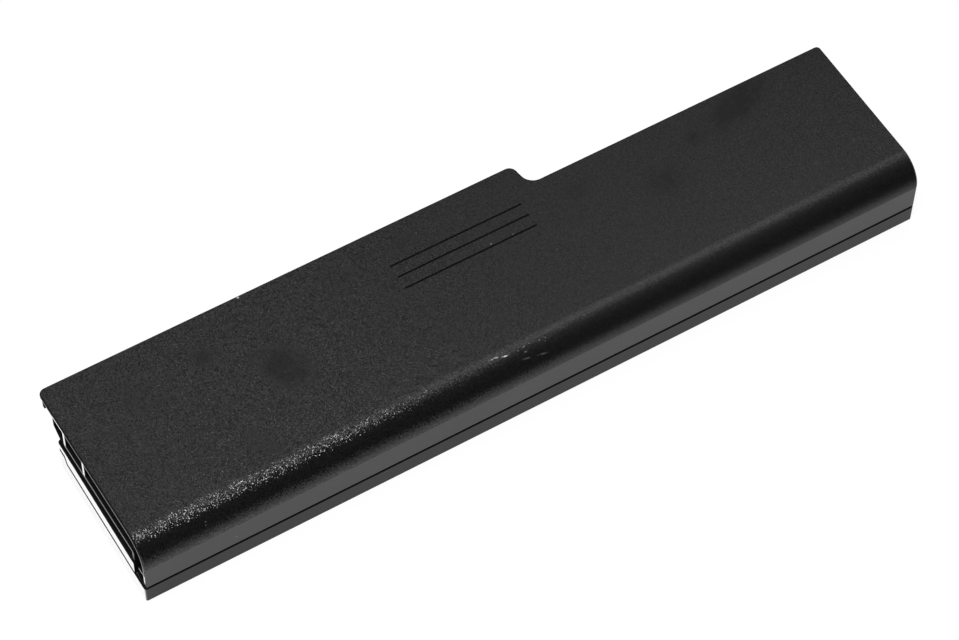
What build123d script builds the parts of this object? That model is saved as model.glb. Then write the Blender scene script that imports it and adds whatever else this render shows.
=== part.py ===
"""Six-cell laptop battery: a two-piece moulded case round cells, strips, board and connector.

Millimetres. +Z is up, the long curved edge faces -Y, the open rail end faces -X, and the
origin is the middle of the underside.
"""

import os
from math import hypot

from build123d import *

os.makedirs("parts", exist_ok=True)

# Cells: type 18650 in a sleeve, lying along X in two rows
cell_diameter = 18.3
cell_length = 65.0
cells_in_row = 3
row_gap = 0.2
joint_gap = 0.7
end_gap = 0.6
cell_gap = 0.1
front_gap = 0.75
back_gap = 1.35
crimp_chamfer = 0.7
button_diameter = 6.4
button_rise = 0.6

# Case walls
wall = 2.0
roof = 0.8
floor = 0.7
front_radius = 7.0
rim_chamfer = 0.35
foot_chamfer = 0.4
corner_round = 0.6
band_inset = 0.15

# Step in the back edge, between the wide half and the narrow half
step_depth = 6.5
step_place = 123.95
step_lean = 1.0
step_round = 2.0
step_hollow = 3.4
back_left_round = 1.8
back_right_round = 1.0

# Seam between the two halves, with a tongue on the lower one
seam_height = 5.1
seam_gap = 0.6
lip = 1.1
tongue_gap = 0.1
tongue_rise = 2.0

# Rail end: roof and front skin stand out over a cored block with a guide groove
rail_depth = 4.0
rail_wall = 1.8
rail_skin = 0.9
rail_web = 0.7
end_lean = 0.45
core_front = 4.7
core_back = 41.5
core_round = 0.6
core_end_round = 1.0
pocket_back = 42.0
pocket_slope = 15.8
shelf_back = 39.3
shelf_top = 14.5
shelf = 0.8
groove_height = 3.7
core_wall = 1.1
rib = 0.9
rib_places = (27.7, 36.8)
stub_length = 2.2
stub_level = 10.2
stub = 0.6
corner_tab_place = 46.5
corner_tab = 0.8
corner_tab_drop = 2.0
end_seam = 0.6
end_rise_place = 37.5
end_rise_run = 1.0
end_rise = 2.0

# Finger grip lines in the roof
grip_length = 35.0
grip_width = 0.5
grip_depth = 0.3
grip_pitch = 3.45
grip_count = 3
grip_from_step = 4.3
grip_from_front = 35.25

# Latch pockets in the back walls
latch_width = 9.0
latch_height = 4.5
latch_depth = 1.0
latch_level = 10.5
latch_from_left = 22.0
latch_from_right = 34.0

# Shallow field for a label on the underside
field_length = 150.0
field_width = 30.0
field_depth = 0.2

# Cradle ribs under and over the cells
cradle = 1.2
cradle_rise = 3.3
cradle_drop = 3.6
cradle_from_end = 12.0

# Nickel strips and paper insulators
strip = 0.15
plate_height = 10.0
plate_margin = 4.0
tail_gap = 1.0
bend = 0.4
solder_length = 6.0
paper = 0.2
paper_gap = 0.05
paper_hole_gap = 0.8
end_paper_height = 14.0
end_paper_margin = 1.0
side_paper_top_gap = 2.2
side_paper_end_gap = 2.0
side_paper_slot = 2.4

# Protection board
board = 1.0
board_bottom = 2.0
board_top_gap = 1.7
board_end_gap = 1.5
stop = 1.2
stop_gap = 0.1
stop_bottom = 14.0
stop_inset = 3.0
rest_depth = 3.0

# Blade receptacle
contact_count = 7
contact_pitch = 3.2
connector_from_step = 30.0
connector_bottom = 7.6
connector_height = 6.6
connector_margin = 1.5
connector_setback = 0.1
connector_gap = 0.15
shoulder = 1.2
slot_width = 1.4
slot_height = 4.6
slot_depth = 6.4
contact = 0.2
contact_height = 3.4
contact_spread = 1.0
contact_pinch = 0.5
contact_setback = 0.8

# Parts on the board
part_level = 8.5
chip_standoff = 0.1
chip_height = 1.2
chip_chamfer = 0.15
lead_pitch = 1.27
lead_margin = 0.5
lead_width = 0.4
lead_thickness = 0.2
lead_reach = 1.0
block_chamfer = 0.12
capacitor_size = (1.6, 0.8, 0.8)
capacitor_count = 4
capacitor_pitch = 2.0
foam_width = 6.0
foam_height = 9.0
foam_gap = 0.1

# Thermistor
bead_diameter = 2.4
bead_length = 3.5
bead_from_left = 40.0
bead_gap = 0.1
thermistor_lead = 0.4
thermistor_lead_pitch = 1.4
thermistor_lead_drop = 2.0

# Overall size, worked out from the cells outwards
row_length = cells_in_row * cell_length + (cells_in_row - 1) * joint_gap
length = rail_depth + rail_wall + end_gap + row_length + end_gap + wall
narrow_width = wall + front_gap + 2 * cell_diameter + row_gap + back_gap + wall
width = narrow_width + step_depth
height = floor + cell_gap + cell_diameter + cell_gap + roof

# Main planes
x_left = -length / 2
x_right = length / 2
y_front = -width / 2
y_back = width / 2
y_narrow = y_front + narrow_width
x_step = x_left + step_place
x_rail = x_left + rail_depth
x_cavity = x_rail + rail_wall
z_roof = height - roof
z_band = height - front_radius
z_upper = seam_height + seam_gap
z_tongue = seam_height + tongue_rise
z_groove = shelf_top - shelf - groove_height
board_top = z_roof - board_top_gap
side_paper_top = z_roof - side_paper_top_gap
cell_radius = cell_diameter / 2
cell_level = floor + cell_gap + cell_radius
cell_starts = [x_cavity + end_gap + i * (cell_length + joint_gap) for i in range(cells_in_row)]
front_row = y_front + wall + front_gap + cell_radius
back_row = front_row + cell_diameter + row_gap
y_cells_back = back_row + cell_radius
y_paper = y_cells_back + paper_gap
y_tail = y_paper + paper + paper_gap
y_board = y_tail + strip
y_parts = y_board + board
x_board_left = x_cavity + board_end_gap
x_board_right = x_step - step_lean / 2 - wall - board_end_gap
x_connector = x_step - connector_from_step
nose_width = contact_count * contact_pitch + 2 * connector_margin
shoulder_width = nose_width + 2 * shoulder
y_mouth = y_back - connector_setback
connector_level = connector_bottom + connector_height / 2
stop_places = (
    x_board_left + stop_inset,
    x_connector - shoulder_width / 2 - stop_inset,
    x_board_right - stop_inset,
)


def plan_outline(inset, left):
    """Outline of the pack from above, drawn inset from the outer faces and cut off at x = left."""
    front = y_front + inset
    narrow = y_narrow - inset
    back = y_back - inset
    right = x_right - inset
    lean = step_lean / step_depth
    shift = inset * (lean - hypot(1, lean))
    points = [
        (left, front),
        (right, front),
        (right, narrow),
        (x_step + step_lean / 2 + shift, narrow),
        (x_step - step_lean / 2 + shift, back),
        (left, back),
    ]
    radii = [
        0,
        0,
        max(back_right_round - inset, 0),
        step_hollow + inset,
        max(step_round - inset, 0),
        max(back_left_round - inset, 0),
    ]
    with BuildSketch() as plan:
        with BuildLine():
            FilletPolyline(*points, radius=radii, close=True)
        make_face()
    return plan.sketch


def curved_block(inset, left, bottom, top, radius):
    """Block on the pack's outline whose long front edge is rounded."""
    with BuildPart() as block:
        with BuildSketch(Plane.XY.offset(bottom)):
            add(plan_outline(inset, left))
        extrude(amount=top - bottom)
        top_edges = block.edges().filter_by(Axis.X).group_by(Axis.Z)[-1]
        fillet(top_edges.sort_by(Axis.Y)[0], radius=radius)
    return block.part


def cell_bores():
    """Room of the six cells, with their clearance, to be cut out of the cradle ribs."""
    with BuildPart() as bores:
        for row in (front_row, back_row):
            with BuildSketch(Plane.YZ.offset(x_cavity)):
                with Locations((row, cell_level)):
                    Circle(cell_radius + cell_gap)
            extrude(amount=x_right - wall - x_cavity)
    return bores.part


def cradle_ribs(bottom, top):
    """Cross ribs shaped to the undersides or tops of the cells, two to each cell."""
    with BuildPart() as ribs:
        for start in cell_starts:
            for x in (start + cradle_from_end, start + cell_length - cradle_from_end):
                with BuildSketch(Plane.YZ.offset(x - cradle / 2)):
                    with BuildLine():
                        Polyline(
                            (y_front + lip, bottom),
                            (y_cells_back, bottom),
                            (y_cells_back, top),
                            (y_front + lip, top),
                            close=True,
                        )
                    make_face()
                extrude(amount=cradle)
        add(cell_bores(), mode=Mode.SUBTRACT)
    return ribs.part


def end_trim():
    """Thin wedge off the roof and the front skin, which leaves the guide strip a little proud."""
    with BuildPart() as wedge:
        with BuildSketch(Plane.XY.offset(z_upper)):
            with BuildLine():
                Polyline(
                    (x_left, y_front),
                    (x_left + end_lean, y_front),
                    (x_left, y_front + pocket_back),
                    close=True,
                )
            make_face()
        extrude(amount=height - z_upper)
        with BuildSketch(Plane.YZ.offset(x_left)):
            with Locations((y_front + (core_front + width) / 2, (z_upper + z_groove) / 2)):
                Rectangle(width - core_front, z_groove - z_upper)
        extrude(amount=rail_depth, mode=Mode.SUBTRACT)
    return wedge.part


outer_block = curved_block(0, x_left, z_upper, height, front_radius)
inner_block = curved_block(wall, x_cavity, z_upper, z_roof, front_radius - lip)
upper_ribs = cradle_ribs(z_roof - cradle_drop, z_roof) & inner_block
lower_ribs = cradle_ribs(floor, floor + cradle_rise)

# Upper case: deep moulded shell with the open rail end
with BuildPart() as upper_case:
    add(outer_block)
    add(end_trim(), mode=Mode.SUBTRACT)
    roof_edges = upper_case.faces().sort_by(Axis.Z)[-1].edges()
    rim = roof_edges.filter_by(lambda edge: edge.center().Y > y_front + front_radius + rim_chamfer)
    chamfer(rim, length=rim_chamfer)
    add(inner_block, mode=Mode.SUBTRACT)
    add(upper_ribs)

    # Rebate for the tongue of the lower case
    with BuildSketch(Plane.XY.offset(z_upper)):
        add(plan_outline(lip, x_cavity - wall + lip))
    extrude(amount=z_tongue - z_upper, mode=Mode.SUBTRACT)

    # Smooth band under the front curve, set back a little
    with BuildSketch(Plane.XZ.offset(-y_front)):
        with Locations((0, (z_upper + z_band) / 2)):
            Rectangle(length, z_band - z_upper)
    extrude(amount=-band_inset, mode=Mode.SUBTRACT)

    # Pockets between the skin and the core of the rail end, left apart by ribs
    with BuildSketch(Plane.YZ.offset(x_left)):
        with BuildLine():
            FilletPolyline(
                (y_front + rail_skin, z_upper + rail_web),
                (y_front + rail_skin, height - rail_skin),
                (y_front + pocket_back - rail_web, height - rail_skin),
                (y_front + pocket_back - rail_web, pocket_slope),
                (y_front + shelf_back - rail_web, shelf_top),
                (y_front + core_front, shelf_top),
                (y_front + core_front, z_upper + rail_web),
                radius=[0, front_radius - rail_skin, 0, 0, 0, core_round, 0],
                close=True,
            )
        make_face()
        for place in rib_places:
            with Locations((y_front + place, (height + shelf_top) / 2)):
                Rectangle(rib, height - shelf_top, mode=Mode.SUBTRACT)
        with Locations((y_front + rail_skin + stub_length / 2, stub_level)):
            Rectangle(stub_length, stub, mode=Mode.SUBTRACT)
    extrude(amount=rail_depth, mode=Mode.SUBTRACT)

    # Guide groove under the shelf, open towards the back
    with BuildSketch(Plane.YZ.offset(x_left)):
        with Locations((y_front + (core_front + shelf + width) / 2, z_groove + groove_height / 2)):
            Rectangle(width - core_front - shelf, groove_height)
    extrude(amount=rail_depth, mode=Mode.SUBTRACT)

    # Open corner behind the pockets and the core, under the roof
    with BuildSketch(Plane.YZ.offset(x_left)):
        with BuildLine():
            Polyline(
                (y_back, height - rail_skin),
                (y_front + pocket_back, height - rail_skin),
                (y_front + pocket_back, pocket_slope),
                (y_front + shelf_back, shelf_top - shelf),
                (y_front + core_back, z_groove),
                (y_front + core_back, z_upper),
                (y_back, z_upper),
                close=True,
            )
        make_face()
    extrude(amount=rail_depth, mode=Mode.SUBTRACT)

    # Seam on the end, wider than along the front and stepped up near its back
    with BuildSketch(Plane.YZ.offset(x_left)):
        with BuildLine():
            Polyline(
                (y_front + core_front, z_upper),
                (y_front + core_front, z_upper + end_seam),
                (y_front + end_rise_place - end_seam, z_upper + end_seam),
                (y_front + end_rise_place - end_seam + end_rise_run, z_upper + end_seam + end_rise),
                (y_front + core_back, z_upper + end_seam + end_rise),
                (y_front + core_back, z_upper),
                close=True,
            )
        make_face()
    extrude(amount=rail_depth, mode=Mode.SUBTRACT)
    core_corners = upper_case.edges().filter_by(Axis.Z).filter_by(
        lambda edge: abs(edge.center().X - x_left) < end_lean
        and abs(edge.center().Y - y_front - core_back) < end_lean
        and edge.center().Z < z_groove
    )
    fillet(core_corners, radius=core_end_round)

    # Stiffening tab in the open corner
    with BuildSketch(Plane.YZ.offset(x_left)):
        with Locations((y_front + corner_tab_place, height - rail_skin - corner_tab_drop / 2)):
            Rectangle(corner_tab, corner_tab_drop)
    extrude(amount=rail_depth)

    # Core hollowed from below
    with BuildSketch(Plane.XY.offset(z_upper)):
        with Locations(((x_left + core_wall + x_rail) / 2, y_front + (core_front + core_back) / 2)):
            Rectangle(rail_depth - core_wall, core_back - core_front - 2 * core_wall)
    extrude(amount=z_groove - core_wall - z_upper, mode=Mode.SUBTRACT)

    # Finger grip lines
    with BuildSketch(Plane.XY.offset(height)):
        grip_x = x_step - grip_from_step - grip_length / 2
        with Locations((grip_x, y_front + grip_from_front)):
            with GridLocations(1, grip_pitch, 1, grip_count):
                Rectangle(grip_length, grip_width)
    extrude(amount=-grip_depth, mode=Mode.SUBTRACT)

    # Window for the connector
    with BuildSketch(Plane.XZ.offset(-y_back)):
        with Locations((x_connector, connector_level)):
            Rectangle(nose_width + 2 * connector_gap, connector_height + 2 * connector_gap)
    extrude(amount=wall, mode=Mode.SUBTRACT)

    # Latch pockets, one in each back wall
    for x, y in ((x_left + latch_from_left, y_back), (x_right - latch_from_right, y_narrow)):
        with BuildSketch(Plane.XZ.offset(-y)):
            with Locations((x, latch_level)):
                Rectangle(latch_width, latch_height)
        extrude(amount=latch_depth, mode=Mode.SUBTRACT)

    # Stops that keep the board against the cells
    y_stop = y_parts + stop_gap
    for x in stop_places:
        with BuildSketch(Plane.XY.offset(stop_bottom)):
            with Locations((x, (y_stop + y_back - lip) / 2)):
                Rectangle(stop, y_back - lip - y_stop)
        extrude(amount=height - roof / 2 - stop_bottom)
upper_case.part.label = "upper_case"
export_step(upper_case.part, "parts/upper_case.step")

# Lower case: shallow tray with a tongue inside the seam
with BuildPart() as lower_case:
    with BuildSketch():
        add(plan_outline(0, x_left))
    extrude(amount=seam_height)
    with BuildSketch():
        with Locations((x_left + rail_depth / 2, y_front + (core_back + width) / 2)):
            Rectangle(rail_depth, width - core_back)
    extrude(amount=seam_height, mode=Mode.SUBTRACT)

    # End wall, stepped up at its back to follow the seam
    with BuildSketch(Plane.YZ.offset(x_left)):
        with BuildLine():
            Polyline(
                (y_front + end_rise_place, seam_height),
                (y_front + end_rise_place + end_rise_run, seam_height + end_rise),
                (y_front + core_back, seam_height + end_rise),
                (y_front + core_back, seam_height),
                close=True,
            )
        make_face()
    extrude(amount=core_wall)
    tray_corners = lower_case.edges().filter_by(Axis.Z).filter_by(
        lambda edge: abs(edge.center().X - x_left) < corner_round
    )
    fillet(tray_corners.sort_by(Axis.Y)[-1], radius=core_end_round)
    fillet(tray_corners.sort_by(Axis.Y)[0], radius=corner_round)
    front_right = lower_case.edges().filter_by(Axis.Z).group_by(Axis.X)[-1].sort_by(Axis.Y)[0]
    fillet(front_right, radius=corner_round)
    chamfer(lower_case.faces().sort_by(Axis.Z)[0].edges(), length=foot_chamfer)
    with BuildSketch(Plane.XY.offset(floor)):
        add(plan_outline(wall, x_cavity))
    extrude(amount=seam_height - floor, mode=Mode.SUBTRACT)

    # Tongue
    with BuildSketch(Plane.XY.offset(floor)):
        add(plan_outline(lip + tongue_gap, x_cavity - wall + lip + tongue_gap))
        add(plan_outline(wall, x_cavity), mode=Mode.SUBTRACT)
    extrude(amount=z_tongue - floor)

    # Rail end hollowed from above
    with BuildSketch(Plane.XY.offset(core_wall)):
        with Locations(((x_left + core_wall + x_rail) / 2, y_front + (core_front + core_back) / 2)):
            Rectangle(rail_depth - core_wall, core_back - core_front - 2 * core_wall)
    extrude(amount=seam_height - core_wall, mode=Mode.SUBTRACT)

    # Cradle ribs and rests under the board
    add(lower_ribs)
    for x in stop_places:
        with BuildSketch(Plane.XY.offset(floor)):
            with Locations((x, y_paper + rest_depth / 2)):
                Rectangle(stop, rest_depth)
        extrude(amount=board_bottom - floor)

    # Label field in the underside, left bare
    with BuildSketch():
        with Locations((0, y_front + narrow_width / 2)):
            RectangleRounded(field_length, field_width, step_round)
    extrude(amount=field_depth, mode=Mode.SUBTRACT)
lower_case.part.label = "lower_case"
export_step(lower_case.part, "parts/lower_case.step")

# Cells: sleeved cans with a crimped shoulder and a positive button at the right end
for row_name, row in (("front", front_row), ("back", back_row)):
    for number, start in enumerate(cell_starts, 1):
        with BuildPart() as cell:
            with BuildSketch(Plane((start, row, cell_level))):
                with BuildLine():
                    Polyline(
                        (0, 0),
                        (0, cell_radius),
                        (cell_length - button_rise - crimp_chamfer, cell_radius),
                        (cell_length - button_rise, cell_radius - crimp_chamfer),
                        (cell_length - button_rise, button_diameter / 2),
                        (cell_length, button_diameter / 2),
                        (cell_length, 0),
                        close=True,
                    )
                make_face()
            revolve(axis=Axis((start, row, cell_level), (1, 0, 0)))
        cell.part.label = f"cell_{row_name}_{number}"
        export_step(cell.part, f"parts/cell_{row_name}_{number}.step")

# Paper insulators on the positive ends, one to each pair
rows_middle = (front_row + back_row) / 2
end_paper_width = back_row - front_row + cell_diameter - 2 * end_paper_margin
with BuildPart() as end_papers:
    for start in cell_starts:
        with BuildSketch(Plane.YZ.offset(start + cell_length - button_rise)):
            with Locations((rows_middle, cell_level)):
                Rectangle(end_paper_width, end_paper_height)
                with GridLocations(back_row - front_row, 1, 2, 1):
                    Circle(button_diameter / 2 + paper_hole_gap, mode=Mode.SUBTRACT)
        extrude(amount=paper)
end_papers.part.label = "end_papers"
export_step(end_papers.part, "parts/end_papers.step")

# Nickel strips: a plate across each pair's ends, and a tail along the board's inner face
plate_bottom = cell_level - plate_height / 2
plate_top = cell_level + plate_height / 2
y_plate = front_row - plate_margin
y_neck = back_row + plate_margin
y_tail_middle = y_tail + strip / 2
x_negative = cell_starts[0] - strip / 2
x_positive = cell_starts[-1] + cell_length + strip / 2
tail_room = (plate_height + tail_gap) / 2


def tail_trim(x_low, x_high, bottom):
    """Block that takes the unused half of the height off a strip's tail."""
    with BuildPart() as trim:
        with BuildSketch(Plane.XY.offset(bottom)):
            with Locations(((x_low + x_high) / 2, (y_neck + y_board + bend) / 2)):
                Rectangle(x_high - x_low, y_board + bend - y_neck)
        extrude(amount=tail_room)
    return trim.part


upper_tail_trims = {
    "negative_strip": (x_negative, x_board_left + solder_length),
    "positive_strip": (x_positive, x_board_right - solder_length),
}
for name, (x_plate, x_tail_end) in upper_tail_trims.items():
    spare = tail_trim(min(x_plate, x_tail_end) - bend, max(x_plate, x_tail_end) + bend, plate_bottom)
    with BuildPart() as end_strip:
        with BuildSketch(Plane.XY.offset(plate_bottom)):
            with BuildLine():
                FilletPolyline(
                    (x_plate, y_plate),
                    (x_plate, y_tail_middle),
                    (x_tail_end, y_tail_middle),
                    radius=bend,
                )
            trace(line_width=strip)
        extrude(amount=plate_height)
        add(spare, mode=Mode.SUBTRACT)
    end_strip.part.label = name
    export_step(end_strip.part, f"parts/{name}.step")

# The taps between pairs are folded over, one leaf on each pair
fold = (joint_gap - strip) / 2
y_fold = y_neck + plate_margin / 2
tap_tails = {
    "tap_strip_1": (cell_starts[0] + cell_length, cell_starts[0] + cell_length + joint_gap + solder_length),
    "tap_strip_2": (cell_starts[1] + cell_length, x_board_right - solder_length),
}
for name, (x_joint, x_tail_end) in tap_tails.items():
    x_middle = x_joint + joint_gap / 2
    spare = tail_trim(
        min(x_joint, x_tail_end) - bend,
        max(x_joint + joint_gap, x_tail_end) + bend,
        plate_top - tail_room,
    )
    with BuildPart() as tap_strip:
        with BuildSketch(Plane.XY.offset(plate_bottom)):
            with BuildLine():
                Polyline(
                    (x_middle - fold, y_plate),
                    (x_middle - fold, y_fold),
                    (x_middle + fold, y_fold),
                    (x_middle + fold, y_plate),
                )
            trace(line_width=strip)
            with BuildLine():
                FilletPolyline(
                    (x_middle, y_fold),
                    (x_middle, y_tail_middle),
                    (x_tail_end, y_tail_middle),
                    radius=bend,
                )
            trace(line_width=strip)
        extrude(amount=plate_height)
        add(spare, mode=Mode.SUBTRACT)
    tap_strip.part.label = name
    export_step(tap_strip.part, f"parts/{name}.step")

# Insulating sheet between the cells and the board, slotted for the taps
x_paper_left = x_cavity + side_paper_end_gap
x_paper_right = x_right - wall - side_paper_end_gap
with BuildPart() as side_paper:
    with BuildSketch(Plane.XZ.offset(-y_paper)):
        with Locations(((x_paper_left + x_paper_right) / 2, (board_bottom + side_paper_top) / 2)):
            Rectangle(x_paper_right - x_paper_left, side_paper_top - board_bottom)
        for x_joint, x_tail_end in tap_tails.values():
            with Locations((x_joint + joint_gap / 2, cell_level)):
                Rectangle(side_paper_slot, plate_height + tail_gap, mode=Mode.SUBTRACT)
    extrude(amount=-paper)
side_paper.part.label = "side_paper"
export_step(side_paper.part, "parts/side_paper.step")

# Protection board, standing upright
with BuildPart() as protection_board:
    with BuildSketch(Plane.XZ.offset(-y_board)):
        with Locations(((x_board_left + x_board_right) / 2, (board_bottom + board_top) / 2)):
            Rectangle(x_board_right - x_board_left, board_top - board_bottom)
    extrude(amount=-board)
protection_board.part.label = "protection_board"
export_step(protection_board.part, "parts/protection_board.step")

# Connector housing: a nose in the case's window, a shoulder behind the wall and blade slots
y_shoulder = y_back - wall - connector_gap
contact_places = [
    x_connector + (i - (contact_count - 1) / 2) * contact_pitch for i in range(contact_count)
]
with BuildPart() as connector_housing:
    with BuildSketch(Plane.XZ.offset(-y_parts)):
        with Locations((x_connector, connector_level)):
            Rectangle(shoulder_width, connector_height)
    extrude(amount=y_parts - y_shoulder)
    with BuildSketch(Plane.XZ.offset(-y_parts)):
        with Locations((x_connector, connector_level)):
            Rectangle(nose_width, connector_height)
    extrude(amount=y_parts - y_mouth)
    with BuildSketch(Plane.XZ.offset(-y_mouth)):
        for x in contact_places:
            with Locations((x, connector_level)):
                Rectangle(slot_width, slot_height)
    extrude(amount=slot_depth, mode=Mode.SUBTRACT)
    mouth = connector_housing.faces().sort_by(Axis.Y)[-1]
    chamfer(mouth.inner_wires().edges(), length=chip_chamfer)
connector_housing.part.label = "connector_housing"
export_step(connector_housing.part, "parts/connector_housing.step")

# Spring contacts: a sprung fork in each slot
y_contact_back = y_mouth - slot_depth + contact / 2
y_contact_tip = y_mouth - contact_setback
y_contact_pinch = (y_contact_back + 2 * y_contact_tip) / 3
for number, x in enumerate(contact_places, 1):
    with BuildPart() as spring:
        with BuildSketch(Plane.XY.offset(connector_level - contact_height / 2)):
            with BuildLine():
                Polyline(
                    (x - contact_spread / 2, y_contact_tip),
                    (x - contact_pinch / 2, y_contact_pinch),
                    (x - contact_spread / 2, y_contact_back),
                    (x + contact_spread / 2, y_contact_back),
                    (x + contact_pinch / 2, y_contact_pinch),
                    (x + contact_spread / 2, y_contact_tip),
                )
            trace(line_width=contact)
        extrude(amount=contact_height)
    spring.part.label = f"contact_{number}"
    export_step(spring.part, f"parts/contact_{number}.step")

# Parts on the board, spaced evenly between its left stop and the connector
part_names = [
    "board_foam",
    "charge_switch",
    "discharge_switch",
    "sense_resistor",
    "gauge_chip",
    "protector_chip",
    "cutoff_fuse",
    "capacitors",
]
part_pitch = (stop_places[1] - stop_places[0]) / (len(part_names) + 0.5)
part_places = {name: stop_places[0] + (i + 0.75) * part_pitch for i, name in enumerate(part_names)}

# Chips with a row of bent leads on each long side: body length and height
chips = {
    "charge_switch": (5.0, 4.0),
    "discharge_switch": (5.0, 4.0),
    "gauge_chip": (7.6, 4.4),
    "protector_chip": (6.4, 4.4),
}
for name, (body_length, body_height) in chips.items():
    x_chip = part_places[name]
    y_chip = y_parts + chip_standoff
    y_lead = y_chip + chip_height / 2
    lead_count = 1 + int((body_length - 2 * lead_margin) / lead_pitch)
    with BuildPart() as chip:
        with BuildSketch(Plane.XZ.offset(-y_chip)):
            with Locations((x_chip, part_level)):
                Rectangle(body_length, body_height)
        extrude(amount=-chip_height)
        chamfer(chip.faces().sort_by(Axis.Y)[-1].edges(), length=chip_chamfer)
        for i in range(lead_count):
            x_lead = x_chip + (i - (lead_count - 1) / 2) * lead_pitch
            for side in (-1, 1):
                z_body = part_level + side * (body_height / 2 - chip_chamfer)
                with BuildSketch(Plane.YZ.offset(x_lead - lead_width / 2)):
                    with BuildLine():
                        Polyline(
                            (y_lead, z_body),
                            (y_lead, z_body + side * lead_reach),
                            (y_parts, z_body + side * lead_reach),
                        )
                    trace(line_width=lead_thickness)
                extrude(amount=lead_width)
    chip.part.label = name
    export_step(chip.part, f"parts/{name}.step")

# Two-ended parts soldered flat: length, height and thickness
blocks = {
    "sense_resistor": (6.3, 3.2, 0.6),
    "cutoff_fuse": (6.0, 4.0, 1.3),
}
for name, (block_length, block_height, block_thickness) in blocks.items():
    with BuildPart() as block_part:
        with BuildSketch(Plane.XZ.offset(-y_parts)):
            with Locations((part_places[name], part_level)):
                Rectangle(block_length, block_height)
        extrude(amount=-block_thickness)
        chamfer(block_part.faces().sort_by(Axis.Y)[-1].edges(), length=block_chamfer)
    block_part.part.label = name
    export_step(block_part.part, f"parts/{name}.step")

with BuildPart() as capacitors:
    with BuildSketch(Plane.XZ.offset(-y_parts)):
        with Locations((part_places["capacitors"], part_level)):
            with GridLocations(1, capacitor_pitch, 1, capacitor_count):
                Rectangle(capacitor_size[0], capacitor_size[1])
    extrude(amount=-capacitor_size[2])
capacitors.part.label = "capacitors"
export_step(capacitors.part, "parts/capacitors.step")

# Foam block between the board and the back wall
with BuildPart() as board_foam:
    with BuildSketch(Plane.XZ.offset(-y_parts - foam_gap)):
        with Locations((part_places["board_foam"], part_level)):
            Rectangle(foam_width, foam_height)
    extrude(amount=y_parts + 2 * foam_gap + wall - y_back)
board_foam.part.label = "board_foam"
export_step(board_foam.part, "parts/board_foam.step")

# Thermistor: a bead over the back row, its leads bent over the board's top edge
x_bead = x_left + bead_from_left
y_bead = y_paper - bead_gap - bead_diameter / 2
z_bead = z_roof - bead_gap - bead_diameter / 2
z_lead = (board_top + z_roof) / 2
y_lead_down = y_parts + thermistor_lead / 2
with BuildPart() as thermistor:
    with BuildSketch(Plane.YZ.offset(x_bead - bead_length / 2)):
        with Locations((y_bead, z_bead)):
            Circle(bead_diameter / 2)
    extrude(amount=bead_length)
    for x in (x_bead - thermistor_lead_pitch / 2, x_bead + thermistor_lead_pitch / 2):
        with BuildSketch(Plane.YZ.offset(x - thermistor_lead / 2)):
            with BuildLine():
                Polyline(
                    (y_bead, z_lead),
                    (y_lead_down, z_lead),
                    (y_lead_down, board_top - thermistor_lead_drop),
                )
            trace(line_width=thermistor_lead)
        extrude(amount=thermistor_lead)
thermistor.part.label = "thermistor"
export_step(thermistor.part, "parts/thermistor.step")
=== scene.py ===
import bmesh
import bpy
from mathutils import Matrix, Vector


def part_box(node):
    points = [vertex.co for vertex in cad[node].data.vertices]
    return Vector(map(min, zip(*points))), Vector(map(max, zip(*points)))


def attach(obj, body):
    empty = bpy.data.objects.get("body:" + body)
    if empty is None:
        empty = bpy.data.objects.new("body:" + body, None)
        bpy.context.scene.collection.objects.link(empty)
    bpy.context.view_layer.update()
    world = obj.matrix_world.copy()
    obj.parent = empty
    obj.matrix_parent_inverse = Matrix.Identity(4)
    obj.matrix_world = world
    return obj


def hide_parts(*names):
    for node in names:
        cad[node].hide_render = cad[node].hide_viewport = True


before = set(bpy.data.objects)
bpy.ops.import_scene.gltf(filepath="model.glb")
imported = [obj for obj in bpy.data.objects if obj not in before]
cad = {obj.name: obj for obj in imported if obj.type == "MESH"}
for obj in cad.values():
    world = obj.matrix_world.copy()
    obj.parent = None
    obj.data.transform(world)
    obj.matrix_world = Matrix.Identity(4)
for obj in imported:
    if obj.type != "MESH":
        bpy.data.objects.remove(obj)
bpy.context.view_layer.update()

# Lower case: a shallow tray, injection-moulded in black ABS. Its outside is left smooth by the
# mould, its left end is polished, and its rim is welded to the upper case along a fine seam.
mm = 0.001
case_black = "#161617"
dust_grey = "#d8d6d0"
case_ior = 1.5
case_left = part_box("upper_case")[0].x
end_reach = 0.5 * mm
weld_distance = 0.002 * mm
smooth_angle = 0.6
flow_mark_size = 14 * mm
satin_roughness = (0.24, 0.34)
satin_reflection = 0.22
scratch_size = 0.35 * mm
scratch_depth = 0.01 * mm
polish_roughness = (0.08, 0.2)
pit_size = 0.5 * mm
matt_pit = "#131314"
matt_top = "#1f1f20"
corner_round = 0.6 * mm
end_gloss_start = 0.5
end_gloss_full = 0.72
end_gloss = 0.95


def linear(code):
    """Linear colour of an sRGB hex value."""
    channels = [int(code[i : i + 2], 16) / 255 for i in (1, 3, 5)]
    curve = [c / 12.92 if c <= 0.04045 else ((c + 0.055) / 1.055) ** 2.4 for c in channels]
    return (*curve, 1.0)


def node(tree, kind, sockets=None, **settings):
    """Adds a shader node. A socket's value is set, or linked if it is another node's output."""
    made = tree.nodes.new(kind)
    for name, value in settings.items():
        setattr(made, name, value)
    for key, value in (sockets or {}).items():
        if isinstance(value, bpy.types.NodeSocket):
            tree.links.new(value, made.inputs[key])
        else:
            made.inputs[key].default_value = value
    return made


def material(name):
    """New material with an empty node tree."""
    made = bpy.data.materials.new(name)
    made.use_nodes = True
    made.node_tree.nodes.clear()
    return made, made.node_tree


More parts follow.
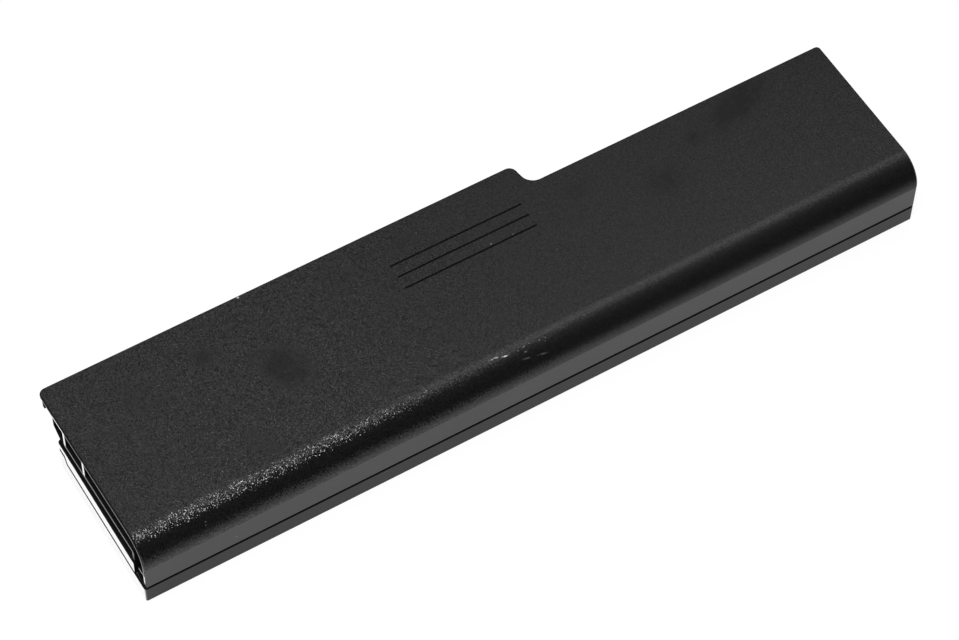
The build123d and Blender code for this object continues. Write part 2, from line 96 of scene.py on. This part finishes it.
def spots(tree, place, marks):
    """Mask of soft-edged marks on the shell: each mark's strength at its centre, 0 outside them."""
    mask = 0.0
    for x, y, z, half_length, half_width, turn, strength in marks:
        local = node(
            tree,
            "ShaderNodeMapping",
            {
                "Vector": place,
                "Location": (x * mm, y * mm, z * mm),
                "Rotation": (0, 0, turn),
                "Scale": (half_length * mm, half_width * mm, half_length * mm),
            },
            vector_type="TEXTURE",
        )
        reach = node(tree, "ShaderNodeVectorMath", {0: local.outputs[0]}, operation="LENGTH")
        spot = node(
            tree,
            "ShaderNodeMapRange",
            {"Value": reach.outputs["Value"], 1: 1.0, 2: 0.0, 3: 0.0, 4: strength},
            interpolation_type="SMOOTHSTEP",
        )
        mask = node(
            tree, "ShaderNodeMath", {0: mask, 1: spot.outputs[0]}, operation="MAXIMUM"
        ).outputs[0]
    return mask


def moulded_abs(name, reflection, specks=()):
    """Smooth moulded ABS: black, with a satin gloss that drifts along the flow of the mould.

    Specks of dust lie on it where they are given.
    """
    made, tree = material(name)
    place = node(tree, "ShaderNodeTexCoord").outputs["Object"]
    flow = node(
        tree, "ShaderNodeTexNoise", {"Vector": place, "Scale": 1 / flow_mark_size, "Detail": 3.0}
    )
    gloss = node(
        tree,
        "ShaderNodeMapRange",
        {"Value": flow.outputs[0], 3: satin_roughness[0], 4: satin_roughness[1]},
    )
    fine = node(
        tree, "ShaderNodeTexNoise", {"Vector": place, "Scale": 1 / scratch_size, "Detail": 2.0}
    )
    bump = node(
        tree,
        "ShaderNodeBump",
        {"Strength": 0.25, "Distance": scratch_depth, "Height": fine.outputs[0]},
    )
    tone = linear(case_black)
    if specks:
        dusted = spots(tree, place, specks)
        tone = node(
            tree, "ShaderNodeMix", {0: dusted, 6: tone, 7: linear(dust_grey)}, data_type="RGBA"
        ).outputs[2]
    surface = node(
        tree,
        "ShaderNodeBsdfPrincipled",
        {
            "Base Color": tone,
            "Roughness": gloss.outputs[0],
            "IOR": case_ior,
            "Specular IOR Level": reflection,
            "Normal": bump.outputs[0],
        },
    )
    node(tree, "ShaderNodeOutputMaterial", {"Surface": surface.outputs[0]})
    return made


def polished_abs():
    """Polished ABS of the slide-in end: black when faced, mirror-bright when seen along it."""
    made, tree = material("polished_black_abs")
    place = node(tree, "ShaderNodeTexCoord").outputs["Object"]
    wipe = node(
        tree, "ShaderNodeTexNoise", {"Vector": place, "Scale": 1 / flow_mark_size, "Detail": 2.0}
    )
    haze = node(
        tree,
        "ShaderNodeMapRange",
        {"Value": wipe.outputs[0], 3: polish_roughness[0], 4: polish_roughness[1]},
    )
    body = node(
        tree,
        "ShaderNodeBsdfPrincipled",
        {"Base Color": linear(case_black), "Roughness": haze.outputs[0], "IOR": case_ior},
    )
    gloss = node(
        tree, "ShaderNodeBsdfGlossy", {"Color": linear("#ffffff"), "Roughness": haze.outputs[0]}
    )
    edge = node(tree, "ShaderNodeLayerWeight", {"Blend": 0.5})
    rise = node(
        tree,
        "ShaderNodeMapRange",
        {
            "Value": edge.outputs["Facing"],
            1: end_gloss_start,
            2: end_gloss_full,
            3: 0.0,
            4: end_gloss,
        },
        interpolation_type="SMOOTHSTEP",
    )
    surface = node(
        tree, "ShaderNodeMixShader", {0: rise.outputs[0], 1: body.outputs[0], 2: gloss.outputs[0]}
    )
    node(tree, "ShaderNodeOutputMaterial", {"Surface": surface.outputs[0]})
    return made


def matt_abs():
    """Eroded ABS of the hidden walls: dull black that gives back no reflection."""
    made, tree = material("matt_black_abs")
    place = node(tree, "ShaderNodeTexCoord").outputs["Object"]
    pits = node(tree, "ShaderNodeTexNoise", {"Vector": place, "Scale": 1 / pit_size, "Detail": 2.0})
    tone = node(
        tree,
        "ShaderNodeMix",
        {0: pits.outputs[0], 6: linear(matt_pit), 7: linear(matt_top)},
        data_type="RGBA",
    )
    surface = node(
        tree,
        "ShaderNodeBsdfPrincipled",
        {"Base Color": tone.outputs[2], "Roughness": 0.9, "Specular IOR Level": 0.0},
    )
    node(tree, "ShaderNodeOutputMaterial", {"Surface": surface.outputs[0]})
    return made


def on_end(centre, normal):
    """Faces of the left end itself, the slightly leaning skin among them."""
    return normal.x < -0.9 and centre.x < case_left + end_reach


def shell_copy(name, cad_name, cuts=()):
    """Welded copy of a moulded shell. Planes cut its left end where the finish changes."""
    piece = bpy.data.objects.new(name, cad[cad_name].data.copy())
    bpy.context.collection.objects.link(piece)
    piece.data.materials.clear()
    shell = bmesh.new()
    shell.from_mesh(piece.data)
    bmesh.ops.remove_doubles(shell, verts=shell.verts, dist=weld_distance)
    for point, normal in cuts:
        faces = [face for face in shell.faces if on_end(face.calc_center_median(), face.normal)]
        verts = {vert for face in faces for vert in face.verts}
        edges = {edge for face in faces for edge in face.edges}
        bmesh.ops.bisect_plane(
            shell,
            geom=[*verts, *edges, *faces],
            dist=weld_distance,
            plane_co=point,
            plane_no=normal,
        )
    for face in shell.faces:
        face.smooth = True
    for edge in shell.edges:
        edge.smooth = edge.calc_face_angle(0) < smooth_angle
    shell.to_mesh(piece.data)
    shell.free()
    piece.data.polygons.foreach_set("material_index", [0] * len(piece.data.polygons))
    even = piece.modifiers.new("flat_faces_stay_flat", "WEIGHTED_NORMAL")
    even.keep_sharp = True
    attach(piece, "root")
    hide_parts(cad_name)
    return piece


def give_finish(piece, finish, chosen):
    """Puts a material on the faces that a test of centre and normal chooses."""
    piece.data.materials.append(finish)
    place = len(piece.data.materials) - 1
    for face in piece.data.polygons:
        if chosen(face.center, face.normal):
            face.material_index = place


satin_black = moulded_abs("satin_black_abs", satin_reflection)
polished_black = polished_abs()
matt_black = matt_abs()
lower_shell = shell_copy("lower_shell", "lower_case")
give_finish(lower_shell, satin_black, lambda centre, normal: True)
give_finish(lower_shell, matt_black, lambda centre, normal: normal.z > 0.5)
give_finish(
    lower_shell,
    polished_black,
    lambda centre, normal: normal.x < -0.3 and centre.x < case_left + corner_round,
)

# Cells: six steel cans of type 18650 in thin heat-shrunk PVC, laid in two rows. The sleeve is
# slightly wrinkled and glossy, and leaves the ends bare.
sleeve_teal = "#2f6f78"
sleeve_crest = "#3a7d86"
sleeve_ior = 1.53
sleeve_wrinkle = 3.5 * mm
wrinkle_depth = 0.1 * mm


def shrink_sleeve():
    """Heat-shrunk PVC: an even colour with soft wrinkles round the can and a plastic gloss."""
    made, tree = material("shrunk_pvc")
    place = node(tree, "ShaderNodeTexCoord").outputs["Object"]
    wrinkles = node(
        tree, "ShaderNodeTexNoise", {"Vector": place, "Scale": 1 / sleeve_wrinkle, "Detail": 3.0}
    )
    tone = node(
        tree,
        "ShaderNodeMix",
        {0: wrinkles.outputs[0], 6: linear(sleeve_teal), 7: linear(sleeve_crest)},
        data_type="RGBA",
    )
    bump = node(
        tree,
        "ShaderNodeBump",
        {"Strength": 0.3, "Distance": wrinkle_depth, "Height": wrinkles.outputs[0]},
    )
    surface = node(
        tree,
        "ShaderNodeBsdfPrincipled",
        {
            "Base Color": tone.outputs[2],
            "Roughness": 0.3,
            "IOR": sleeve_ior,
            "Normal": bump.outputs[0],
        },
    )
    node(tree, "ShaderNodeOutputMaterial", {"Surface": surface.outputs[0]})
    return made


def dress(finish, *names):
    """Gives carried-over CAD nodes one finish."""
    for name in names:
        cad[name].data.materials.clear()
        cad[name].data.materials.append(finish)


rows = [f"cell_{row}_{number}" for row in ("front", "back") for number in (1, 2, 3)]
dress(shrink_sleeve(), *rows)

# Insulators: grey vulcanised paper over the positive ends, and a long sheet of it between the
# back row and the board. Matt, with short fibres.
paper_grey = "#8d9290"
paper_light = "#a3a7a4"
paper_fibre = 0.4 * mm
fibre_depth = 0.02 * mm


def fibre_paper():
    """Vulcanised paper: matt grey with a fine felted grain."""
    made, tree = material("vulcanised_paper")
    place = node(tree, "ShaderNodeTexCoord").outputs["Object"]
    fibres = node(
        tree, "ShaderNodeTexNoise", {"Vector": place, "Scale": 1 / paper_fibre, "Detail": 4.0}
    )
    tone = node(
        tree,
        "ShaderNodeMix",
        {0: fibres.outputs[0], 6: linear(paper_grey), 7: linear(paper_light)},
        data_type="RGBA",
    )
    bump = node(
        tree,
        "ShaderNodeBump",
        {"Strength": 0.4, "Distance": fibre_depth, "Height": fibres.outputs[0]},
    )
    surface = node(
        tree,
        "ShaderNodeBsdfPrincipled",
        {"Base Color": tone.outputs[2], "Roughness": 0.85, "Normal": bump.outputs[0]},
    )
    node(tree, "ShaderNodeOutputMaterial", {"Surface": surface.outputs[0]})
    return made


dress(fibre_paper(), "end_papers", "side_paper")

# Nickel strips: rolled nickel ribbon, spot-welded across each pair of cells and bent round to the
# board. The spring contacts of the connector are tinned bronze with the same rolled sheen.
nickel = "#c4c0b6"
nickel_roughness = 0.34
contact_tin = "#cfc9a8"
contact_roughness = 0.28
sheen_range = 0.08
rolling_pitch = 0.25 * mm
line_stretch = 0.05


def rolled_metal(name, colour, roughness):
    """Rolled metal ribbon: a soft grey sheen with fine lines along the rolling direction."""
    made, tree = material(name)
    place = node(tree, "ShaderNodeTexCoord").outputs["Object"]
    drawn = node(tree, "ShaderNodeMapping", {"Vector": place, "Scale": (line_stretch, 1.0, 1.0)})
    lines = node(
        tree,
        "ShaderNodeTexNoise",
        {"Vector": drawn.outputs[0], "Scale": 1 / rolling_pitch, "Detail": 2.0},
    )
    gloss = node(
        tree,
        "ShaderNodeMapRange",
        {"Value": lines.outputs[0], 3: roughness - sheen_range, 4: roughness + sheen_range},
    )
    surface = node(
        tree,
        "ShaderNodeBsdfPrincipled",
        {"Base Color": linear(colour), "Metallic": 1.0, "Roughness": gloss.outputs[0]},
    )
    node(tree, "ShaderNodeOutputMaterial", {"Surface": surface.outputs[0]})
    return made


dress(
    rolled_metal("rolled_nickel", nickel, nickel_roughness),
    "negative_strip",
    "positive_strip",
    "tap_strip_1",
    "tap_strip_2",
)

# Protection board: glass-epoxy laminate under green solder mask, with the parts soldered on its
# outer face.
mask_green = "#1f5a3a"
weave_green = "#235f3f"
mask_ior = 1.55
weave_pitch = 0.7 * mm


def solder_mask():
    """Solder mask over glass cloth: glossy green that shows the weave faintly."""
    made, tree = material("green_solder_mask")
    place = node(tree, "ShaderNodeTexCoord").outputs["Object"]
    weave = node(tree, "ShaderNodeTexChecker", {"Vector": place, "Scale": 1 / weave_pitch})
    tone = node(
        tree,
        "ShaderNodeMix",
        {0: weave.outputs["Fac"], 6: linear(mask_green), 7: linear(weave_green)},
        data_type="RGBA",
    )
    surface = node(
        tree,
        "ShaderNodeBsdfPrincipled",
        {"Base Color": tone.outputs[2], "Roughness": 0.32, "IOR": mask_ior},
    )
    node(tree, "ShaderNodeOutputMaterial", {"Surface": surface.outputs[0]})
    return made


dress(solder_mask(), "protection_board")

# Parts on the board and the thermistor: bodies moulded in filled epoxy, or fired in ceramic, and a
# block of soft foam that keeps the board against the cells.
epoxy_grain = 0.3 * mm
epoxy_depth = 0.01 * mm
foam_cell = 0.8 * mm
foam_depth = 0.15 * mm
gloss_range = 0.1


def filled_body(name, colour, roughness, grain, depth):
    """Filled resin, ceramic or foam: one colour broken up by its grain."""
    made, tree = material(name)
    place = node(tree, "ShaderNodeTexCoord").outputs["Object"]
    specks = node(tree, "ShaderNodeTexNoise", {"Vector": place, "Scale": 1 / grain, "Detail": 3.0})
    bump = node(
        tree, "ShaderNodeBump", {"Strength": 0.5, "Distance": depth, "Height": specks.outputs[0]}
    )
    gloss = node(
        tree,
        "ShaderNodeMapRange",
        {"Value": specks.outputs[0], 3: roughness - gloss_range, 4: roughness + gloss_range},
    )
    surface = node(
        tree,
        "ShaderNodeBsdfPrincipled",
        {"Base Color": linear(colour), "Roughness": gloss.outputs[0], "Normal": bump.outputs[0]},
    )
    node(tree, "ShaderNodeOutputMaterial", {"Surface": surface.outputs[0]})
    return made


chip_names = ("gauge_chip", "protector_chip", "charge_switch", "discharge_switch")
# Finish, colour, roughness and the pieces that have it
hard_bodies = (
    ("moulded_epoxy", "#26272a", 0.5, chip_names),
    ("resistor_enamel", "#31363c", 0.4, ("sense_resistor",)),
    ("fuse_ceramic", "#d9d5c8", 0.45, ("cutoff_fuse",)),
    ("capacitor_ceramic", "#9b7b58", 0.5, ("capacitors",)),
    ("thermistor_epoxy", "#1d2f4f", 0.35, ("thermistor",)),
)
for finish, colour, roughness, pieces in hard_bodies:
    dress(filled_body(finish, colour, roughness, epoxy_grain, epoxy_depth), *pieces)
dress(filled_body("cellular_foam", "#3b3b3d", 0.9, foam_cell, foam_depth), "board_foam")

# Connector: a receptacle moulded in glass-filled nylon, seated in the back wall, with a sprung
# fork of tinned bronze in each slot.
nylon_depth = 0.015 * mm
dress(filled_body("filled_nylon", "#151516", 0.5, epoxy_grain, nylon_depth), "connector_housing")
forks = [f"contact_{number}" for number in range(1, 8)]
dress(rolled_metal("tinned_bronze", contact_tin, contact_roughness), *forks)

# Upper case: the deep shell, moulded in black ABS. The roof and front curve have a spark-eroded grain,
# rubbed flatter to the right, and the band below is smooth. The open rail end has polished ribs and
# a polished guide strip between matt pockets. Handling has left stains, scuffs and a little dust.
case_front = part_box("upper_case")[0].y
roof_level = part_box("upper_case")[1].z
front_radius = 7.0 * mm
crease_level = roof_level - front_radius
skin = 0.9 * mm
rail_floor = case_left + 4.0 * mm
strip_top = 10.0 * mm
shelf_level = 14.5 * mm
rib_half = 0.45 * mm
rib_lines = [case_front + place * mm for place in (27.7, 36.8)]
rail_back = case_front + 42.0 * mm
grip_line = case_front + 35.25 * mm
grip_reach = 5 * mm
grip_half_length = 40 * mm
# The grain: facets, with their lean and haze where it is fresh and where it is rubbed
facet_size = 0.15 * mm
facet_lean = 0.4
worn_lean = 0.14
facet_haze = 0.18
worn_haze = 0.4
haze_range = 0.06
worn_start = -60 * mm
worn_full = 40 * mm
grain_size = 0.42 * mm
# Grain tones: the tone differs at random, and the pits are painted darker as painted shade
grain_and_pit_shade = "#111112"
grain_top = "#1c1c1d"
grain_reflection = 0.3
smooth_reflection = 0.47
stain_black = "#060606"
stain_edge = 2.5 * mm
stain_dulling = 0.6

# Marks as centre x, y, z, half length, half width, turn in radians and strength
stains = (
    (-52.0, 2.2, 20.0, 11.5, 8.0, -1.15, 1.6),
    (-66.6, 13.9, 20.0, 5.0, 3.5, -1.1, 1.1),
    (-85.4, 12.6, 20.0, 8.0, 5.0, -1.1, 0.7),
    (-65.8, -13.2, 20.0, 9.0, 5.5, -0.9, 0.65),
    (76.5, 13.2, 20.0, 17.0, 7.0, 0.33, 1.6),
    (62.5, 10.0, 20.0, 5.5, 4.5, 0.4, 1.0),
    (49.4, 3.0, 20.0, 9.5, 7.5, 0.2, 1.0),
    (29.8, 11.0, 20.0, 9.0, 5.0, 0.2, 0.7),
    (-13.1, 18.1, 20.0, 7.0, 3.5, 0.2, 0.6),
)
scuffs = (
    (-11.75, -19.35, 19.8, 0.35, 0.18, 0.0, 0.4),
    (-11.05, -19.42, 19.79, 0.4, 0.2, 0.1, 0.8),
    (-10.05, -19.45, 19.78, 0.85, 0.24, -0.14, 1.3),
    (-8.1, -20.03, 19.6, 1.15, 0.24, -0.15, 1.3),
    (-4.7, -20.3, 19.5, 0.4, 0.18, 0.4, 0.3),
    (-3.05, -19.93, 19.63, 0.65, 0.2, 0.1, 0.3),
    (-3.2, -21.08, 19.13, 0.6, 0.2, 0.0, 0.25),
    (-1.57, -19.83, 19.67, 0.25, 0.2, 0.0, 0.35),
    (0.95, -20.13, 19.57, 0.3, 0.2, 0.3, 0.35),
    (2.5, -20.25, 19.52, 0.25, 0.2, 0.0, 0.3),
    (2.1, -20.9, 19.22, 0.25, 0.2, 0.0, 0.35),
    (-3.6, -22.27, 18.3, 1.6, 0.17, -0.12, 0.14),
    (0.25, -22.76, 17.83, 1.9, 0.17, -0.12, 0.16),
)
dust = (
    (-77.2, -14.8, 20.0, 0.25, 0.2, 0.0, 0.3),
    (-72.5, -15.1, 20.0, 0.2, 0.2, 0.0, 0.2),
    (-85.9, -22.9, 17.7, 0.22, 0.2, 0.0, 0.3),
    (-86.1, -23.4, 17.1, 0.22, 0.2, 0.0, 0.25),
    (-14.5, 13.8, 20.0, 0.25, 0.22, 0.0, 0.35),
    (-14.9, 11.8, 20.0, 0.2, 0.2, 0.0, 0.2),
    (5.1, 7.8, 20.0, 0.25, 0.22, 0.0, 0.4),
    (-8.2, 19.2, 20.0, 0.22, 0.2, 0.0, 0.2),
    (10.9, 7.65, 20.0, 0.22, 0.2, 0.0, 0.25),
    (17.4, -1.1, 20.0, 0.22, 0.2, 0.0, 0.15),
    (-52.1, 24.2, 19.9, 0.45, 0.5, 0.0, 0.9),
)
band_dust = (
    (-79.63, -24.55, 8.42, 0.28, 0.28, 0.0, 0.35),
    (-46.55, -24.55, 11.92, 0.24, 0.24, 0.0, 0.15),
)


def grained_abs():
    """Spark-grained ABS: tiny facets, each leaning its own way, which glint where they face a lamp.

    To the right the grain is rubbed flatter and duller. Stains, scuffs and dust lie on it.
    """
    made, tree = material("grained_black_abs")
    place = node(tree, "ShaderNodeTexCoord").outputs["Object"]
    facets = node(tree, "ShaderNodeTexVoronoi", {"Vector": place, "Scale": 1 / facet_size})
    lean = node(
        tree,
        "ShaderNodeVectorMath",
        {0: facets.outputs["Color"], 1: (0.5, 0.5, 0.5)},
        operation="SUBTRACT",
    )
    along = node(tree, "ShaderNodeSeparateXYZ", {0: place}).outputs[0]
    steepness = node(
        tree,
        "ShaderNodeMapRange",
        {"Value": along, 1: worn_start, 2: worn_full, 3: facet_lean, 4: worn_lean},
        interpolation_type="SMOOTHSTEP",
    )
    lean = node(
        tree,
        "ShaderNodeVectorMath",
        {0: lean.outputs[0], "Scale": steepness.outputs[0]},
        operation="SCALE",
    )
    flat = node(tree, "ShaderNodeNewGeometry").outputs["Normal"]
    tilted = node(tree, "ShaderNodeVectorMath", {0: lean.outputs[0], 1: flat}, operation="ADD")
    facing = node(tree, "ShaderNodeVectorMath", {0: tilted.outputs[0]}, operation="NORMALIZE")
    grain = node(
        tree, "ShaderNodeTexNoise", {"Vector": place, "Scale": 1 / grain_size, "Detail": 2.0}
    ).outputs[0]
    tops = node(tree, "ShaderNodeMapRange", {"Value": grain, 1: 0.36, 2: 0.64})
    # Painted shade: the grain's pits are painted darker than its tops, over its random tone
    tone = node(
        tree,
        "ShaderNodeMix",
        {0: tops.outputs[0], 6: linear(grain_and_pit_shade), 7: linear(grain_top)},
        data_type="RGBA",
    )
    haze = node(
        tree,
        "ShaderNodeMapRange",
        {"Value": along, 1: worn_start, 2: worn_full, 3: facet_haze, 4: worn_haze},
        interpolation_type="SMOOTHSTEP",
    )
    gloss = node(
        tree,
        "ShaderNodeMath",
        {0: tops.outputs[0], 1: -haze_range, 2: haze.outputs[0]},
        operation="MULTIPLY_ADD",
    )
    cloud = node(
        tree, "ShaderNodeTexNoise", {"Vector": place, "Scale": 1 / stain_edge, "Detail": 3.0}
    )
    broken = node(tree, "ShaderNodeMapRange", {"Value": cloud.outputs[0], 1: 0.3, 2: 0.6, 3: 0.45})
    stain = node(
        tree,
        "ShaderNodeMath",
        {0: spots(tree, place, stains), 1: broken.outputs[0]},
        operation="MULTIPLY",
    )
    tone = node(
        tree,
        "ShaderNodeMix",
        {0: stain.outputs[0], 6: tone.outputs[2], 7: linear(stain_black)},
        data_type="RGBA",
    )
    dulled = node(
        tree, "ShaderNodeMix", {0: stain.outputs[0], 2: gloss.outputs[0], 3: stain_dulling}
    )
    rubbed = node(tree, "ShaderNodeMapRange", {"Value": grain, 1: 0.35, 2: 0.55, 3: 0.15})
    scuff = node(
        tree,
        "ShaderNodeMath",
        {0: spots(tree, place, scuffs), 1: rubbed.outputs[0]},
        operation="MULTIPLY",
    )
    mark = node(
        tree,
        "ShaderNodeMath",
        {0: scuff.outputs[0], 1: spots(tree, place, dust)},
        operation="MAXIMUM",
    )
    tone = node(
        tree,
        "ShaderNodeMix",
        {0: mark.outputs[0], 6: tone.outputs[2], 7: linear(dust_grey)},
        data_type="RGBA",
    )
    surface = node(
        tree,
        "ShaderNodeBsdfPrincipled",
        {
            "Base Color": tone.outputs[2],
            "Roughness": dulled.outputs[0],
            "IOR": case_ior,
            "Specular IOR Level": grain_reflection,
            "Normal": facing.outputs[0],
        },
    )
    node(tree, "ShaderNodeOutputMaterial", {"Surface": surface.outputs[0]})
    return made


def in_rail(centre, normal):
    """Walls of the pockets and the groove, inside the skin of the open end, and its upper rim."""
    forward = max(case_front + front_radius - centre.y, 0)
    upward = max(centre.z - crease_level, 0)
    inside = Vector((forward, upward)).length < front_radius - skin / 2
    rim = normal.x < -0.5 and normal.z > 0.5
    return centre.x < rail_floor + weld_distance and (inside or rim)


def on_rim(centre, normal):
    """Broken edge round the roof, behind the front curve."""
    behind = centre.y > case_front + front_radius
    return behind and centre.z > roof_level - skin and 0.5 < normal.z < 0.9


def in_grips(centre, normal):
    """Walls and floors of the finger grip lines."""
    below = roof_level - skin < centre.z < roof_level - weld_distance
    within = abs(centre.y - grip_line) < grip_reach and abs(centre.x) < grip_half_length
    return below and within


def on_matt_end(centre, normal):
    """End faces that the mould leaves matt: the corner tab and the wall that closes the pockets."""
    closing_wall = rib_lines[1] + rib_half < centre.y and strip_top < centre.z < roof_level - skin
    return on_end(centre, normal) and closing_wall


def on_polish(centre, normal):
    """Guide strip, rib ends and the far end of the skin."""
    rib_end = any(abs(centre.y - line) < rib_half for line in rib_lines) and centre.z > shelf_level
    skin_end = rib_lines[1] < centre.y < rail_back and centre.z > roof_level - skin
    strip = centre.z < strip_top
    return on_end(centre, normal) and (strip or rib_end or skin_end)


level_cuts = [((0, 0, level), (0, 0, 1)) for level in (strip_top, shelf_level, roof_level - skin)]
rib_sides = [line + side for line in rib_lines for side in (-rib_half, rib_half)]
rib_cuts = [((0, side, 0), (0, 1, 0)) for side in rib_sides]
upper_shell = shell_copy("upper_shell", "upper_case", level_cuts + rib_cuts)
smooth_black = moulded_abs("smooth_black_abs", smooth_reflection, band_dust)
give_finish(upper_shell, grained_abs(), lambda centre, normal: True)
give_finish(
    upper_shell,
    smooth_black,
    lambda centre, normal: on_end(centre, normal) or normal.y < -0.9 and centre.z < crease_level,
)
give_finish(
    upper_shell,
    matt_black,
    lambda centre, normal: in_grips(centre, normal)
    or on_rim(centre, normal)
    or in_rail(centre, normal) and not on_end(centre, normal)
    or on_matt_end(centre, normal),
)
give_finish(upper_shell, polished_black, on_polish)

# Stage: a wide sheet of white paper in a tent of soft light, brightest overhead and behind. The camera
# sees the paper white with a faint shadow. Reflections see a painted pool of light round the pack,
# and painted dark paper beyond it.
floor_reach = 4.0
floor_drop = 0.02 * mm
floor_paint = "#e7e7e7"
seen_glow = 0.94
seen_paint = "#505050"
# Painted pool of light that reflections see round the pack, and painted dark paper beyond it
painted_pool_glow = 0.72
painted_pool_coat = "#848484"
painted_dark_paint = "#202020"
painted_pool_start = 52 * mm
painted_pool_end = 100 * mm
painted_pool_stretch = 3.0


def glowing_paper(tree, glow, paint):
    """White paper with a glow of its own, and a coat that takes light and shadow."""
    light = node(tree, "ShaderNodeEmission", {"Strength": glow})
    coat = node(tree, "ShaderNodeBsdfDiffuse", {"Color": linear(paint)})
    return node(tree, "ShaderNodeAddShader", {0: light.outputs[0], 1: coat.outputs[0]}).outputs[0]


def floor_paper():
    """Seamless white paper: plain to diffuse light, white to the camera, a painted pool of light in
    reflections, with painted dark paper beyond it.
    """
    made, tree = material("white_paper")
    path = node(tree, "ShaderNodeLightPath")
    mirrored = node(
        tree,
        "ShaderNodeMath",
        {0: path.outputs["Is Glossy Ray"], 1: path.outputs["Is Transmission Ray"]},
        operation="MAXIMUM",
    )
    matt = node(tree, "ShaderNodeBsdfDiffuse", {"Color": linear(floor_paint)})
    place = node(tree, "ShaderNodeTexCoord").outputs["Object"]
    # Painted pool of light: in reflections the paper glows round the pack and fades to painted dark
    # paper
    oval = node(
        tree, "ShaderNodeMapping", {"Vector": place, "Scale": (1 / painted_pool_stretch, 1.0, 1.0)}
    )
    reach = node(tree, "ShaderNodeVectorMath", {0: oval.outputs[0]}, operation="LENGTH")
    painted_pool_mask = node(
        tree,
        "ShaderNodeMapRange",
        {"Value": reach.outputs["Value"], 1: painted_pool_end, 2: painted_pool_start},
        interpolation_type="SMOOTHSTEP",
    )
    # Painted shade: dark paper that reflections see beyond the pool
    painted_dark_paper = node(tree, "ShaderNodeBsdfDiffuse", {"Color": linear(painted_dark_paint)})
    painted_pool_light = glowing_paper(tree, painted_pool_glow, painted_pool_coat)
    reflected = node(
        tree, "ShaderNodeMixShader", {0: painted_pool_mask.outputs[0], 1: painted_dark_paper.outputs[0], 2: painted_pool_light}
    ).outputs[0]
    seen = glowing_paper(tree, seen_glow, seen_paint)
    surface = node(
        tree, "ShaderNodeMixShader", {0: mirrored.outputs[0], 1: matt.outputs[0], 2: reflected}
    )
    surface = node(
        tree,
        "ShaderNodeMixShader",
        {0: path.outputs["Is Camera Ray"], 1: surface.outputs[0], 2: seen},
    )
    node(tree, "ShaderNodeOutputMaterial", {"Surface": surface.outputs[0]})
    return made


floor = bpy.data.objects.new("floor", bpy.data.meshes.new("floor"))
bpy.context.collection.objects.link(floor)
sheet = bmesh.new()
bmesh.ops.create_grid(sheet, x_segments=1, y_segments=1, size=floor_reach)
bmesh.ops.translate(sheet, verts=sheet.verts, vec=(0, 0, -floor_drop))
sheet.to_mesh(floor.data)
sheet.free()
floor.data.materials.append(floor_paper())

tent_axis = Vector((-0.244, 0.406, 0.881))
tent_edge = 0.74
tent_core = 1.0
tent_dark = 0.03
tent_bright = 2.4
world = bpy.data.worlds.new("tent")
bpy.context.scene.world = world
world.use_nodes = True
world.node_tree.nodes.clear()
direction = node(world.node_tree, "ShaderNodeTexCoord").outputs["Generated"]
towards = node(
    world.node_tree, "ShaderNodeVectorMath", {0: direction, 1: tent_axis}, operation="DOT_PRODUCT"
)
glow = node(
    world.node_tree,
    "ShaderNodeMapRange",
    {
        "Value": towards.outputs["Value"],
        1: tent_edge,
        2: tent_core,
        3: tent_dark,
        4: tent_bright,
    },
    interpolation_type="SMOOTHSTEP",
)
sky = node(world.node_tree, "ShaderNodeBackground", {"Strength": glow.outputs[0]})
node(world.node_tree, "ShaderNodeOutputWorld", {"Surface": sky.outputs[0]})


def softbox(name, place, target, length_line, size, power):
    """Soft light aimed at a point, its length laid along a line."""
    lamp = bpy.data.lights.new(name, "AREA")
    lamp.shape = "RECTANGLE"
    lamp.size, lamp.size_y = size
    lamp.energy = power
    holder = bpy.data.objects.new(name, lamp)
    bpy.context.collection.objects.link(holder)
    back = (Vector(place) - Vector(target)).normalized()
    across = back.cross(Vector(length_line)).normalized()
    turn = Matrix((across.cross(back), across, back)).transposed()
    holder.matrix_world = Matrix.Translation(place) @ turn.to_4x4()


# Place, target, line of the length and size in metres, and power in watts
softbox("overhead", (-0.11, -0.14, 0.62), (-0.04, -0.02, 0), (1, 0, 0), (0.12, 0.12), 1.8)
softbox("overhead_strip", (0.283, 0.072, 0.62), (0.03, -0.02, 0), (1, 1, 0), (0.32, 0.14), 0.72)
softbox("left_low", (-0.28, 0.02, 0.14), (-0.1, 0, 0.01), (0, 1, 0), (0.24, 0.24), 0.3)

# Camera: at the photograph's place, fitted to the pack's own edges.
camera_place = Vector((-235.938, -375.006, 655.420)) * mm
camera_right = Vector((0.85776, -0.51393, 0.01157))
camera_down = Vector((-0.41973, -0.71319, -0.56142))
lens = bpy.data.cameras.new("camera")
lens.sensor_width = 36.0
lens.lens = 127.6
lens.clip_start = 0.05
lens.clip_end = 20.0
camera = bpy.data.objects.new("camera", lens)
bpy.context.collection.objects.link(camera)
axes = Matrix((camera_right, -camera_down, camera_right.cross(-camera_down))).transposed()
camera.matrix_world = Matrix.Translation(camera_place) @ axes.to_4x4()
bpy.context.scene.camera = camera
bpy.context.scene.view_settings.view_transform = "Standard"
